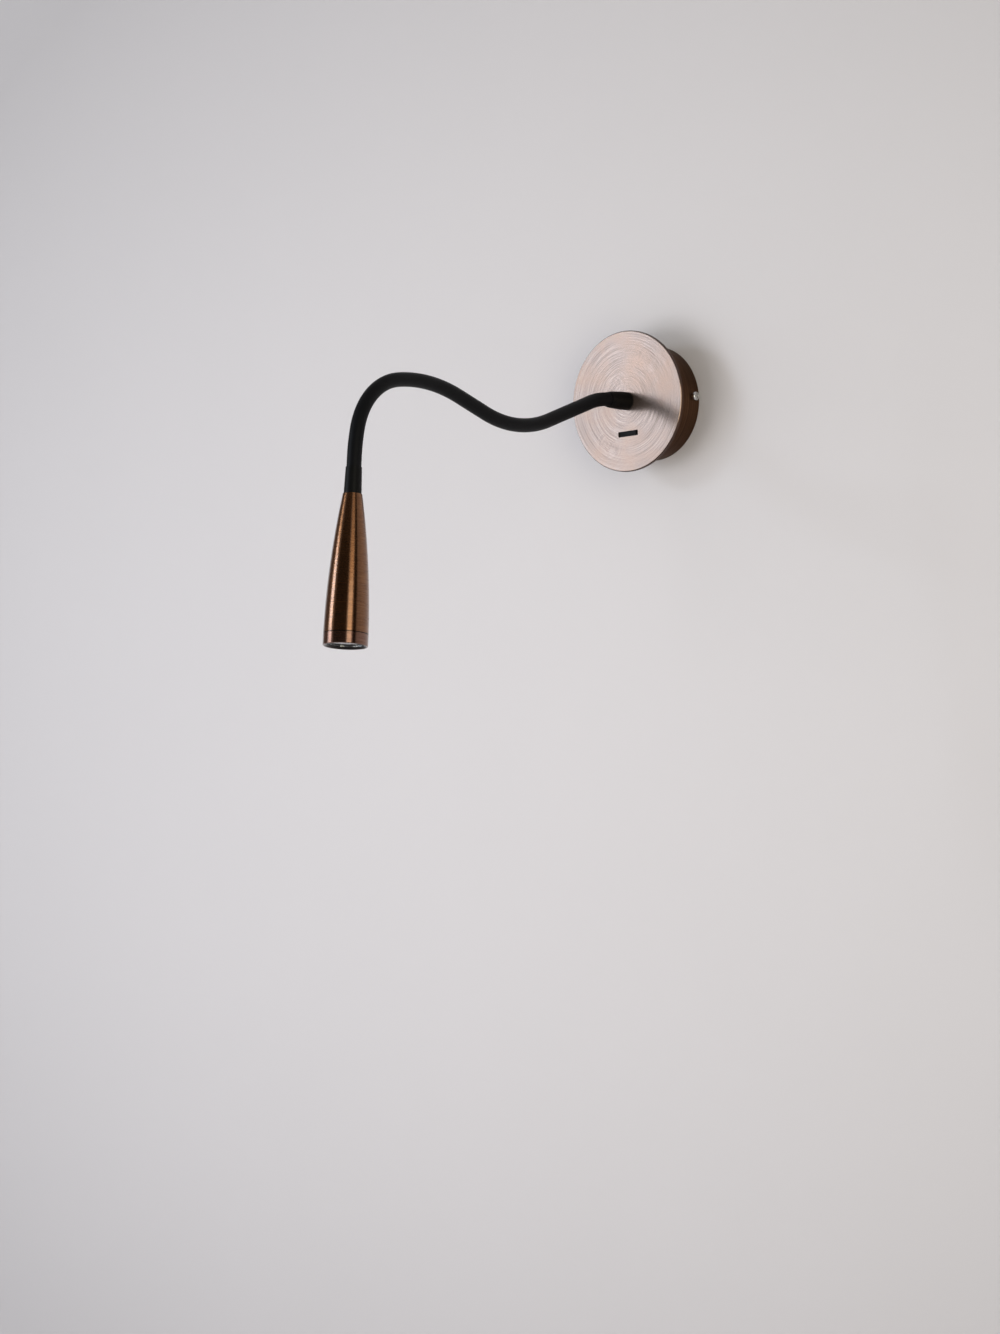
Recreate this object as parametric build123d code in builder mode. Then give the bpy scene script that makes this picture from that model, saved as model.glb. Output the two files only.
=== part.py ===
from build123d import *
import os
from math import cos, pi, radians, sin, sqrt

os.makedirs("parts", exist_ok=True)

# Bedside wall reading lamp: round base with a rocker switch, goose-neck arm, slim spot head.
# Millimetres. The wall is the plane Y = 0, -Y points out into the room and +Z points up.
# The origin lies on the wall, behind the middle of the base. "Out" means distance from the wall.

# ------------------------------------------------------------------ driving dimensions
# Front plate and drum of the base
PLATE_D = 80.0
PLATE_T = 1.8
PLATE_CHAMFER = 0.5
DRUM_D = 65.0
DRUM_DEPTH = 23.4
DRUM_WALL = 1.2

# Wall bracket: a bent steel strap with a tapped ear at each end
STRAP_W = 18.0
STRAP_T = 1.5
EAR_W = 11.0
EAR_BEYOND_SCREW = 4.5
EAR_GAP = 0.25
BEND_R = 2.4
WALL_SLOT_SPACING = 40.0
WALL_SLOT_W = 4.5
WALL_SLOT_L = 10.0
STRAP_BEYOND_SLOT = 2.0
TAB_CORNER_R = 1.5
CABLE_HOLE_D = 7.0
BUSH_WALL = 1.4
BUSH_FLANGE = 1.2
BUSH_FLANGE_T = 1.3

# Side screws that hold the drum on the ears
SIDE_SCREW_D = 3.0
SIDE_SCREW_HEAD_D = 5.0
SIDE_SCREW_HEAD_H = 1.9
SIDE_SCREW_REACH = 5.0
SIDE_SCREW_PROUD = 1.2
SIDE_SCREW_OUT = 5.5

# Terminal block on the strap's lower tab
BLOCK_PITCH = 6.4
BLOCK_WAYS = 3
BLOCK_DEPTH = 9.6
BLOCK_H = 8.0
BLOCK_BODY_H = 5.4
BLOCK_TOWER_W = 4.0
BLOCK_DROP = 19.0
WIRE_HOLE_D = 2.6
WIRE_HOLE_RISE = 3.0
CLAMP_SCREW_D = 2.2
CLAMP_SCREW_H = 2.4
CLAMP_SLOT_W = 0.55
CLAMP_SLOT_DEPTH = 0.6
BLOCK_SCREW_D = 2.5
BLOCK_SCREW_SEAT = 4.0
BLOCK_SCREW_HEAD_D = 4.2
BLOCK_SCREW_HEAD_H = 1.6
EARTH_SCREW_D = 3.0
EARTH_SCREW_HEAD_D = 5.0
EARTH_SCREW_HEAD_H = 1.8
EARTH_SCREW_X = -10.6
LUG_T = 0.8
LUG_RIM = 0.9

# Rocker switch
SLOT_L = 14.4
SLOT_H = 3.1
SLOT_R = 0.7
SWITCH_DROP = 18.5
ROCKER_GAP = 0.2
ROCKER_THROW = 14.0
ROCKER_CROWN = 0.25
ROCKER_FOOT = 1.0
PLUNGER_W = 1.6
PLUNGER_REACH = 3.4
PIVOT_DEPTH = 2.6
PIVOT_D = 1.2
PIVOT_FIT = 0.05
NOSE_WALL = 0.9
SWITCH_BODY_L = 18.0
SWITCH_BODY_H = 7.6
SWITCH_BODY_DEPTH = 7.4
SWITCH_POCKET_DEPTH = 5.2
SWITCH_FLANGE_H = 5.6
SWITCH_FLANGE_T = 1.2
SWITCH_FLANGE_R = 1.5
SWITCH_SCREW_D = 2.0
SWITCH_SCREW_HEAD_D = 3.4
SWITCH_SCREW_HEAD_H = 1.2
SWITCH_HEAD_ROOM = 0.05
TAB_SPACING = 8.0
TAB_W = 2.8
TAB_T = 0.8
TAB_L = 3.0

# LED driver on its foam pad
DRIVER_L = 34.0
DRIVER_H = 13.0
DRIVER_DEPTH = 13.6
DRIVER_RISE = 16.6
DRIVER_EDGE_R = 1.0
LID_T = 2.0
LID_GROOVE_W = 0.4
LID_GROOVE_DEPTH = 0.3
PAD_T = 1.0
PAD_INSET = 2.0

# Threaded nipple, nut and washer that hold the neck
NIPPLE_D = 8.0
NIPPLE_REACH = 4.0
NIPPLE_PROUD = 2.0
CONDUIT_GRIP = 8.0
NUT_ACROSS = 13.0
NUT_T = 4.0
WASHER_D = 15.0
WASHER_T = 0.8
WASHER_SPLIT = 0.8
HOLE_FIT = 0.1

# Goose-neck: rubber sleeve, interlocked steel conduit, two-core lead
SLEEVE_D = 7.8
SLEEVE_WALL = 0.75
CONDUIT_BORE = 3.6
LEAD_D = 2.6
NECK_FIT = 0.03
BALL_GAP = 0.15
NECK_JOINTS = 8
FIRST_JOINT = 24.0
STUB_TO_HEAD_COLLAR = 10.0

# Collars at the two ends of the neck
BASE_COLLAR_L = 16.4
BASE_COLLAR_D = 10.3
BASE_COLLAR_MID_D = 9.9
BASE_COLLAR_MID_AT = 9.0
BASE_COLLAR_TIP_D = 9.2
BASE_COLLAR_TIP_AT = 14.4
BASE_COLLAR_RIM = 0.35
HEAD_COLLAR_L = 14.35
HEAD_COLLAR_D = 9.4
HEAD_COLLAR_TIP_D = 8.55
HEAD_COLLAR_GRIP = 8.0

# Spot head: lengths are measured along its axis from its top
HEAD_L = 80.0
HEAD_TOP_D = 10.3
HEAD_MOUTH_D = 23.6
HEAD_BULGE = 1.42
HEAD_WALL = 1.3
HEAD_SOLID_TOP = 12.0
HEAD_NIPPLE_L = 11.0
BEZEL_L = 6.2
BEZEL_GROOVE = 0.3
BEZEL_WALL = 1.05
BEZEL_LIP = 1.4
BEZEL_APERTURE = 20.2
BEZEL_CHAMFER = 0.3
BORE_D = 19.2
GLASS_T = 1.8
SINK_L = 11.0
SINK_TO_BORE_END = 20.0
SINK_GROOVE_W = 1.0
SINK_GROOVE_DEPTH = 1.6
SINK_GROOVES = 4
BOARD_D = 16.4
BOARD_T = 1.0
BOARD_SCREW_D = 2.0
BOARD_SCREW_HEAD_D = 3.4
BOARD_SCREW_HEAD_H = 1.2
BOARD_SCREW_SPACING = 12.0
BOARD_SCREW_L = 4.0
EMITTER_W = 3.4
EMITTER_T = 0.7
EMITTER_DOME_D = 2.6
OPTIC_L = 12.0
OPTIC_FLANGE_T = 1.8
OPTIC_MOUTH_D = 16.4
OPTIC_WELL_GAP = 0.2
OPTIC_THROAT_WALL = 0.8
OPTIC_WELL_DEPTH = 3.0
OPTIC_SWELL = 0.5
HOLDER_WALL = 0.6

# Single-core leads inside the base
WIRE_D = 1.8
WIRE_BEND_R = 5.0
WIRE_TIGHT_R = 3.0
WIRE_IN_BLOCK = 3.0
NECK_LEAD_SETBACK = 4.5
NECK_LEAD_BEND_R = 4.4
LIVE_RISE = 6.0
LIVE_SWING = 9.5
LIVE_LIFT = 4.0
LIVE_PIN_SHARE = 0.36
NEUTRAL_RISE = 7.0
NEUTRAL_LIFT = 5.5
NEUTRAL_DROP = 8.0
NEUTRAL_PIN_SHARE = 0.24
EARTH_RISE = 4.5
EARTH_DROP = 4.2

# Pan-head screws, as shares of the head's height and width
SCREW_DOME = 0.55
RECESS_DEPTH = 0.45
RECESS_L = 0.58
RECESS_W = 0.11

# Small clearances
SEAT_GAP = 0.02
THREAD_FIT = 0.02


# ------------------------------------------------------------------ the neck's centreline
def straight(length):
    """A straight run: its length and no turn."""
    return length, 0.0


def bend(radius, turn):
    """A bend: its arc length and its turn in radians. Upward turns are positive."""
    return radius * radians(abs(turn)), radians(turn)


# The shape that the neck is left in, from the plate's face to the top of the head
neck_runs = [
    straight(BASE_COLLAR_L),
    bend(49.3, -18.5),
    straight(38.5),
    bend(78.3, 39.3),
    straight(22.0),
    bend(101.0, -27.2),
    bend(38.9, -66.4),
    bend(99.3, -9.4),
    straight(19.6),
]
neck_length = sum(length for length, turn in neck_runs)
plate_out = DRUM_DEPTH + PLATE_T


def neck_state(s):
    """Out, up and heading (radians above level) at length s along the neck's centreline."""
    out, up, heading = plate_out, 0.0, 0.0
    left = s
    for length, turn in neck_runs:
        step = min(left, length)
        left -= step
        if turn == 0.0:
            out += step * cos(heading)
            up += step * sin(heading)
            continue
        curvature = turn / length
        turned = heading + curvature * step
        out += (sin(turned) - sin(heading)) / curvature
        up += (cos(heading) - cos(turned)) / curvature
        heading = turned
    # past the last run the line goes straight on
    return out + left * cos(heading), up + left * sin(heading), heading


def neck_point(s):
    """The centreline's point at length s."""
    out, up, heading = neck_state(s)
    return Vector(0, -out, up)


def neck_tangent(s):
    """The centreline's direction at length s, towards the head."""
    heading = neck_state(s)[2]
    return Vector(0, -cos(heading), sin(heading))


def across(s):
    """The plane square to the neck at length s."""
    return Plane(origin=neck_point(s), x_dir=(1, 0, 0), z_dir=neck_tangent(s))


def along(s):
    """The plane X = 0 with x away from the centreline and y along it, from length s."""
    heading = neck_state(s)[2]
    return Plane(origin=neck_point(s), x_dir=(0, sin(heading), cos(heading)), z_dir=(1, 0, 0))


def draw_neck_line(start, end):
    """The centreline from start to end, as lines and arcs in the current BuildLine."""
    run_start = min(start, 0.0)
    run_end = 0.0
    for k, (length, turn) in enumerate(neck_runs, 1):
        run_end += length
        if k == len(neck_runs):
            run_end = max(run_end, end)
        a = max(start, run_start)
        b = min(end, run_end)
        run_start = run_end
        if b - a < 1e-6:
            continue
        if turn == 0.0:
            Line(neck_point(a), neck_point(b))
        else:
            ThreePointArc(neck_point(a), neck_point((a + b) / 2), neck_point(b))


# ------------------------------------------------------------------ derived places
plate_r = PLATE_D / 2
drum_r = DRUM_D / 2
drum_inner_r = drum_r - DRUM_WALL
floor_out = DRUM_DEPTH - DRUM_WALL

sleeve_r = SLEEVE_D / 2
sleeve_inner_r = sleeve_r - SLEEVE_WALL
conduit_r = sleeve_inner_r - NECK_FIT
conduit_bore_r = CONDUIT_BORE / 2
lead_r = LEAD_D / 2
nipple_r = NIPPLE_D / 2
nipple_hole_r = nipple_r + HOLE_FIT

last_joint = neck_length - HEAD_COLLAR_L - STUB_TO_HEAD_COLLAR
joint_pitch = (last_joint - FIRST_JOINT) / (NECK_JOINTS - 1)
joint_at = [FIRST_JOINT + joint_pitch * k for k in range(NECK_JOINTS)]


def wall_plane(out):
    """A plane parallel to the wall: x is X, y is Z, and it faces the room."""
    return Plane.XZ.offset(out)


def export(part, name):
    """Label a finished piece and write it."""
    part.label = name
    export_step(part, f"parts/{name}.step")


def pan_head_screw(seat, shank_d, shank_length, head_d, head_h):
    """A screw whose head stands on the seat plane's upper side, with a cross recess."""
    with BuildPart() as screw:
        with BuildSketch(seat):
            Circle(head_d / 2)
        extrude(amount=head_h)
        fillet(screw.faces().sort_by(Axis(seat.origin, seat.z_dir))[-1].edges(), SCREW_DOME * head_h)
        with BuildSketch(seat):
            Circle(shank_d / 2)
        extrude(amount=-shank_length)
        with BuildSketch(seat.offset(head_h)):
            Rectangle(RECESS_L * head_d, RECESS_W * head_d)
            Rectangle(RECESS_W * head_d, RECESS_L * head_d)
        extrude(amount=-RECESS_DEPTH * head_h, mode=Mode.SUBTRACT)
    return screw.part


# ------------------------------------------------------------------ front plate and drum
nose_h = SLOT_H + 2 * NOSE_WALL
nose_l = SLOT_L + 2 * NOSE_WALL
switch_ear_l = SWITCH_SCREW_HEAD_D + 2 * SWITCH_HEAD_ROOM
switch_screw_x = (SWITCH_BODY_L + switch_ear_l) / 2
switch_screw_depth = DRUM_WALL + PLATE_T / 2

with BuildPart() as front_plate:
    with BuildSketch(wall_plane(DRUM_DEPTH)):
        Circle(plate_r)
    extrude(amount=PLATE_T)
    chamfer(front_plate.faces().sort_by(Axis.Y)[0].edges(), PLATE_CHAMFER)
    with BuildSketch(wall_plane(DRUM_DEPTH)):
        Circle(nipple_hole_r)
        with Locations((0, -SWITCH_DROP)):
            RectangleRounded(SLOT_L, SLOT_H, SLOT_R)
    extrude(amount=PLATE_T, mode=Mode.SUBTRACT)
    # blind tapped holes behind the switch flange
    with BuildSketch(wall_plane(DRUM_DEPTH)):
        with Locations((-switch_screw_x, -SWITCH_DROP), (switch_screw_x, -SWITCH_DROP)):
            Circle(SWITCH_SCREW_D / 2 + THREAD_FIT)
    extrude(amount=PLATE_T / 2 + SEAT_GAP, mode=Mode.SUBTRACT)
export(front_plate.part, "front_plate")

with BuildPart() as base_drum:
    with BuildSketch(wall_plane(0)):
        Circle(drum_r)
    extrude(amount=DRUM_DEPTH)
    with BuildSketch(wall_plane(0)):
        Circle(drum_inner_r)
    extrude(amount=floor_out, mode=Mode.SUBTRACT)
    with BuildSketch(wall_plane(floor_out)):
        Circle(nipple_hole_r)
        with Locations((0, -SWITCH_DROP)):
            RectangleRounded(nose_l + 2 * HOLE_FIT, nose_h + 2 * HOLE_FIT, SLOT_R)
        with Locations((-switch_screw_x, -SWITCH_DROP), (switch_screw_x, -SWITCH_DROP)):
            Circle(SWITCH_SCREW_D / 2 + THREAD_FIT)
    extrude(amount=DRUM_WALL, mode=Mode.SUBTRACT)
    # clearance holes for the side screws at three and nine o'clock
    with BuildSketch(Plane.YZ):
        with Locations((-SIDE_SCREW_OUT, 0)):
            Circle(SIDE_SCREW_D / 2 + HOLE_FIT)
    extrude(amount=drum_r, both=True, mode=Mode.SUBTRACT)
export(base_drum.part, "base_drum")

# ------------------------------------------------------------------ wall bracket
ear_x = sqrt((drum_inner_r - EAR_GAP) ** 2 - (EAR_W / 2) ** 2)
ear_out = SIDE_SCREW_OUT + EAR_BEYOND_SCREW
block_w = BLOCK_PITCH * BLOCK_WAYS
bush_r = CABLE_HOLE_D / 2 + BUSH_WALL
strap_body_l = WALL_SLOT_SPACING + WALL_SLOT_L + 2 * STRAP_BEYOND_SLOT
block_screw_x = BLOCK_PITCH / 2

with BuildPart() as wall_bracket:
    with BuildSketch(Plane.XY.offset(-drum_r)):
        Rectangle(2 * ear_x, ear_out, align=(Align.CENTER, Align.MAX))
    extrude(amount=DRUM_D)
    fillet(wall_bracket.edges().filter_by(Axis.Z).group_by(Axis.Y)[-1], BEND_R)
    with BuildSketch(Plane.XY.offset(-drum_r)) as inside_of_bend:
        with Locations((0, -STRAP_T)):
            Rectangle(2 * (ear_x - STRAP_T), ear_out, align=(Align.CENTER, Align.MAX))
        fillet(inside_of_bend.vertices().group_by(Axis.Y)[-1], BEND_R - STRAP_T)
    extrude(amount=DRUM_D, mode=Mode.SUBTRACT)
    # flat outline: strap, narrower ears, tab for the terminal block
    with BuildSketch(wall_plane(0)) as outline:
        Rectangle(2 * ear_x, EAR_W)
        Rectangle(strap_body_l, STRAP_W)
        Rectangle(block_w, BLOCK_DROP + BLOCK_DEPTH / 2, align=(Align.CENTER, Align.MAX))
        fillet(outline.vertices().group_by(Axis.Y)[0], TAB_CORNER_R)
        with Locations((-WALL_SLOT_SPACING / 2, 0), (WALL_SLOT_SPACING / 2, 0)):
            SlotOverall(WALL_SLOT_L, WALL_SLOT_W, mode=Mode.SUBTRACT)
        Circle(bush_r + SEAT_GAP, mode=Mode.SUBTRACT)
        with Locations((EARTH_SCREW_X, 0)):
            Circle(EARTH_SCREW_D / 2 + THREAD_FIT, mode=Mode.SUBTRACT)
        with Locations((block_screw_x, -BLOCK_DROP)):
            Circle(BLOCK_SCREW_D / 2 + THREAD_FIT, mode=Mode.SUBTRACT)
    extrude(amount=ear_out, mode=Mode.INTERSECT)
    # tapped holes in the ears
    with BuildSketch(Plane.YZ):
        with Locations((-SIDE_SCREW_OUT, 0)):
            Circle(SIDE_SCREW_D / 2 + THREAD_FIT)
    extrude(amount=drum_r, both=True, mode=Mode.SUBTRACT)
export(wall_bracket.part, "wall_bracket")

with BuildPart() as cable_bush:
    with BuildSketch(wall_plane(0)):
        Circle(bush_r)
    extrude(amount=STRAP_T)
    with BuildSketch(wall_plane(STRAP_T + SEAT_GAP)):
        Circle(bush_r + BUSH_FLANGE)
    extrude(amount=BUSH_FLANGE_T)
    with BuildSketch(wall_plane(STRAP_T)):
        Circle(bush_r)
    extrude(amount=SEAT_GAP)
    with BuildSketch(wall_plane(0)):
        Circle(CABLE_HOLE_D / 2)
    extrude(amount=STRAP_T + SEAT_GAP + BUSH_FLANGE_T, mode=Mode.SUBTRACT)
export(cable_bush.part, "cable_bush")

lug_back = STRAP_T + SEAT_GAP
lug_front = lug_back + LUG_T
lug_r = EARTH_SCREW_HEAD_D / 2 + LUG_RIM
earth_screw = pan_head_screw(
    Plane(origin=(EARTH_SCREW_X, -lug_front - SEAT_GAP, 0), x_dir=(1, 0, 0), z_dir=(0, -1, 0)),
    EARTH_SCREW_D,
    lug_front,
    EARTH_SCREW_HEAD_D,
    EARTH_SCREW_HEAD_H,
)
export(earth_screw, "earth_screw")

with BuildPart() as side_screws:
    for side in (-1, 1):
        head_seat = Plane(
            origin=(side * (drum_r + SIDE_SCREW_PROUD), -SIDE_SCREW_OUT, 0),
            x_dir=(0, 1, 0),
            z_dir=(side, 0, 0),
        )
        add(
            pan_head_screw(
                head_seat,
                SIDE_SCREW_D,
                SIDE_SCREW_PROUD + SIDE_SCREW_REACH,
                SIDE_SCREW_HEAD_D,
                SIDE_SCREW_HEAD_H,
            )
        )
export(side_screws.part, "side_screws")

# ------------------------------------------------------------------ terminal block
block_seat = STRAP_T + SEAT_GAP
block_front = block_seat + BLOCK_H
way_x = [BLOCK_PITCH * (k - (BLOCK_WAYS - 1) / 2) for k in range(BLOCK_WAYS)]
clamp_z = [-BLOCK_DROP - BLOCK_DEPTH / 4, -BLOCK_DROP + BLOCK_DEPTH / 4]
wire_out = block_seat + WIRE_HOLE_RISE
clamp_places = [(x, z) for x in way_x for z in clamp_z]
block_screw_seat = block_seat + BLOCK_SCREW_SEAT

with BuildPart() as terminal_block:
    with BuildSketch(wall_plane(block_seat)):
        with Locations((0, -BLOCK_DROP)):
            Rectangle(block_w, BLOCK_DEPTH)
    extrude(amount=BLOCK_BODY_H)
    # one tower to each way
    with BuildSketch(wall_plane(block_seat + BLOCK_BODY_H)):
        with Locations([(x, -BLOCK_DROP) for x in way_x]):
            Rectangle(BLOCK_TOWER_W, BLOCK_DEPTH)
    extrude(amount=BLOCK_H - BLOCK_BODY_H)
    with BuildSketch(Plane.XY.offset(-BLOCK_DROP - BLOCK_DEPTH / 2)):
        with Locations([(x, -wire_out) for x in way_x]):
            Circle(WIRE_HOLE_D / 2)
    extrude(amount=BLOCK_DEPTH, mode=Mode.SUBTRACT)
    with BuildSketch(wall_plane(wire_out)):
        with Locations(clamp_places):
            Circle(CLAMP_SCREW_D / 2 + THREAD_FIT)
    extrude(amount=BLOCK_H, mode=Mode.SUBTRACT)
    with BuildSketch(wall_plane(block_seat)):
        with Locations((block_screw_x, -BLOCK_DROP)):
            Circle(BLOCK_SCREW_D / 2 + THREAD_FIT)
    extrude(amount=BLOCK_H, mode=Mode.SUBTRACT)
    with BuildSketch(wall_plane(block_screw_seat)):
        with Locations((block_screw_x, -BLOCK_DROP)):
            Circle(BLOCK_SCREW_HEAD_D / 2 + HOLE_FIT)
    extrude(amount=BLOCK_H, mode=Mode.SUBTRACT)
export(terminal_block.part, "terminal_block")

with BuildPart() as terminal_screws:
    with BuildSketch(wall_plane(block_front - SEAT_GAP - CLAMP_SCREW_H)):
        with Locations(clamp_places):
            Circle(CLAMP_SCREW_D / 2)
    extrude(amount=CLAMP_SCREW_H)
    with BuildSketch(wall_plane(block_front - SEAT_GAP)):
        with Locations(clamp_places):
            Rectangle(2 * CLAMP_SCREW_D, CLAMP_SLOT_W)
    extrude(amount=-CLAMP_SLOT_DEPTH, mode=Mode.SUBTRACT)
export(terminal_screws.part, "terminal_screws")

block_screw = pan_head_screw(
    Plane(
        origin=(block_screw_x, -block_screw_seat - SEAT_GAP, -BLOCK_DROP),
        x_dir=(1, 0, 0),
        z_dir=(0, -1, 0),
    ),
    BLOCK_SCREW_D,
    block_screw_seat,
    BLOCK_SCREW_HEAD_D,
    BLOCK_SCREW_HEAD_H,
)
export(block_screw, "block_screw")

# ------------------------------------------------------------------ rocker switch
pivot_out = plate_out - PIVOT_DEPTH
rocker_t = SLOT_H - 2 * ROCKER_GAP
rocker_end_r = SLOT_L / 2 - ROCKER_GAP
rocker_face_x = sqrt(rocker_end_r**2 - PIVOT_DEPTH**2)
pin_reach = NOSE_WALL - ROCKER_GAP
body_top = floor_out - SEAT_GAP
tab_x = TAB_SPACING / 2

with BuildPart() as switch_housing:
    # body, mounting flange and the nose that fills the drum's opening
    with BuildSketch(wall_plane(body_top - SWITCH_BODY_DEPTH)):
        with Locations((0, -SWITCH_DROP)):
            Rectangle(SWITCH_BODY_L, SWITCH_BODY_H)
    extrude(amount=SWITCH_BODY_DEPTH)
    with BuildSketch(wall_plane(body_top - SWITCH_FLANGE_T)):
        with Locations((0, -SWITCH_DROP)):
            RectangleRounded(SWITCH_BODY_L + 2 * switch_ear_l, SWITCH_FLANGE_H, SWITCH_FLANGE_R)
    extrude(amount=SWITCH_FLANGE_T)
    with BuildSketch(wall_plane(body_top)):
        with Locations((0, -SWITCH_DROP)):
            RectangleRounded(nose_l, nose_h, SLOT_R)
    extrude(amount=DRUM_WALL)
    # pocket for the rocker
    with BuildSketch(wall_plane(body_top + DRUM_WALL)):
        with Locations((0, -SWITCH_DROP)):
            Rectangle(SLOT_L, SLOT_H)
    extrude(amount=-(DRUM_WALL + SWITCH_POCKET_DEPTH), mode=Mode.SUBTRACT)
    # bearing holes for the rocker's pins
    with BuildSketch(Plane.XY.offset(-SWITCH_DROP - nose_h / 2)):
        with Locations((0, -pivot_out)):
            Circle(PIVOT_D / 2 + PIVOT_FIT)
    extrude(amount=nose_h, mode=Mode.SUBTRACT)
    with BuildSketch(wall_plane(body_top)):
        with Locations((-switch_screw_x, -SWITCH_DROP), (switch_screw_x, -SWITCH_DROP)):
            Circle(SWITCH_SCREW_D / 2 + HOLE_FIT)
    extrude(amount=-SWITCH_FLANGE_T, mode=Mode.SUBTRACT)
export(switch_housing.part, "switch_housing")

with BuildPart() as switch_screws:
    for side in (-1, 1):
        under_flange = Plane(
            origin=(side * switch_screw_x, -(body_top - SWITCH_FLANGE_T - SEAT_GAP), -SWITCH_DROP),
            x_dir=(1, 0, 0),
            z_dir=(0, 1, 0),
        )
        add(
            pan_head_screw(
                under_flange,
                SWITCH_SCREW_D,
                SWITCH_FLANGE_T + switch_screw_depth,
                SWITCH_SCREW_HEAD_D,
                SWITCH_SCREW_HEAD_H,
            )
        )
export(switch_screws.part, "switch_screws")

with BuildPart() as switch_tabs:
    with BuildSketch(wall_plane(body_top - SWITCH_BODY_DEPTH)):
        with Locations((-tab_x, -SWITCH_DROP), (tab_x, -SWITCH_DROP)):
            Rectangle(TAB_T, TAB_W)
    extrude(amount=-TAB_L)
export(switch_tabs.part, "switch_tabs")


def rocker_plane(z):
    """The rocker's own section plane at height z: x along the rocker, y towards the wall."""
    lean = radians(ROCKER_THROW / 2)
    return Plane(origin=(0, -pivot_out, z), x_dir=(cos(lean), -sin(lean), 0), z_dir=(0, 0, 1))


with BuildPart() as switch_rocker:
    with BuildSketch(rocker_plane(-SWITCH_DROP - rocker_t / 2)):
        with BuildLine():
            # crowned face, round ends struck from the pivot, flat foot
            ThreePointArc(
                (-rocker_face_x, -PIVOT_DEPTH),
                (0, -PIVOT_DEPTH - ROCKER_CROWN),
                (rocker_face_x, -PIVOT_DEPTH),
            )
            ThreePointArc(
                (rocker_face_x, -PIVOT_DEPTH),
                (sqrt(rocker_end_r**2 - (PIVOT_DEPTH / 2) ** 2), -PIVOT_DEPTH / 2),
                (rocker_end_r, 0),
            )
            Polyline(
                (rocker_end_r, 0),
                (PLUNGER_W, ROCKER_FOOT),
                (-PLUNGER_W, ROCKER_FOOT),
                (-rocker_end_r, 0),
            )
            ThreePointArc(
                (-rocker_end_r, 0),
                (-sqrt(rocker_end_r**2 - (PIVOT_DEPTH / 2) ** 2), -PIVOT_DEPTH / 2),
                (-rocker_face_x, -PIVOT_DEPTH),
            )
        make_face()
        with Locations((0, ROCKER_FOOT)):
            Rectangle(PLUNGER_W, PLUNGER_REACH - ROCKER_FOOT, align=(Align.CENTER, Align.MIN))
    extrude(amount=rocker_t)
    with BuildSketch(rocker_plane(-SWITCH_DROP - rocker_t / 2 - pin_reach)):
        Circle(PIVOT_D / 2)
    extrude(amount=rocker_t + 2 * pin_reach)
export(switch_rocker.part, "switch_rocker")

# ------------------------------------------------------------------ LED driver
pad_top = floor_out - SEAT_GAP
driver_front = pad_top - PAD_T
driver_back = driver_front - DRIVER_DEPTH

with BuildPart() as driver_pad:
    with BuildSketch(wall_plane(driver_front)):
        with Locations((0, DRIVER_RISE)):
            Rectangle(DRIVER_L - 2 * PAD_INSET, DRIVER_H - PAD_INSET)
    extrude(amount=PAD_T)
export(driver_pad.part, "driver_pad")

with BuildPart() as driver_case:
    with BuildSketch(wall_plane(driver_back)):
        with Locations((0, DRIVER_RISE)):
            Rectangle(DRIVER_L, DRIVER_H)
    extrude(amount=DRIVER_DEPTH)
    fillet(driver_case.edges().filter_by(Axis.Y), DRIVER_EDGE_R)
    # the lid's joint line runs round the case
    with BuildSketch(wall_plane(driver_back + LID_T)):
        with Locations((0, DRIVER_RISE)):
            Rectangle(DRIVER_L + LID_GROOVE_W, DRIVER_H + LID_GROOVE_W)
            Rectangle(
                DRIVER_L - 2 * LID_GROOVE_DEPTH,
                DRIVER_H - 2 * LID_GROOVE_DEPTH,
                mode=Mode.SUBTRACT,
            )
    extrude(amount=LID_GROOVE_W, mode=Mode.SUBTRACT)
export(driver_case.part, "driver_case")

# ------------------------------------------------------------------ nipple, washer, nut
washer_front = floor_out - SEAT_GAP
nut_front = washer_front - WASHER_T
nipple_end = nut_front - NUT_T - NIPPLE_PROUD

with BuildPart() as neck_nipple:
    with BuildSketch(wall_plane(nipple_end)):
        Circle(nipple_r)
        Circle(conduit_bore_r, mode=Mode.SUBTRACT)
    extrude(amount=plate_out + NIPPLE_REACH - nipple_end)
    with BuildSketch(wall_plane(plate_out + NIPPLE_REACH)):
        Circle(conduit_r + NECK_FIT)
    extrude(amount=-CONDUIT_GRIP, mode=Mode.SUBTRACT)
export(neck_nipple.part, "neck_nipple")

with BuildPart() as lock_washer:
    with BuildSketch(wall_plane(nut_front)):
        Circle(WASHER_D / 2)
        Circle(nipple_hole_r, mode=Mode.SUBTRACT)
        # the split of the spring washer
        with Locations((0, WASHER_D / 2)):
            Rectangle(WASHER_SPLIT, WASHER_D, mode=Mode.SUBTRACT)
    extrude(amount=WASHER_T)
export(lock_washer.part, "lock_washer")

with BuildPart() as neck_nut:
    with BuildSketch(wall_plane(nut_front - NUT_T)):
        RegularPolygon(NUT_ACROSS / 2, 6, major_radius=False)
        Circle(nipple_r + THREAD_FIT, mode=Mode.SUBTRACT)
    extrude(amount=NUT_T)
export(neck_nut.part, "neck_nut")

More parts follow.
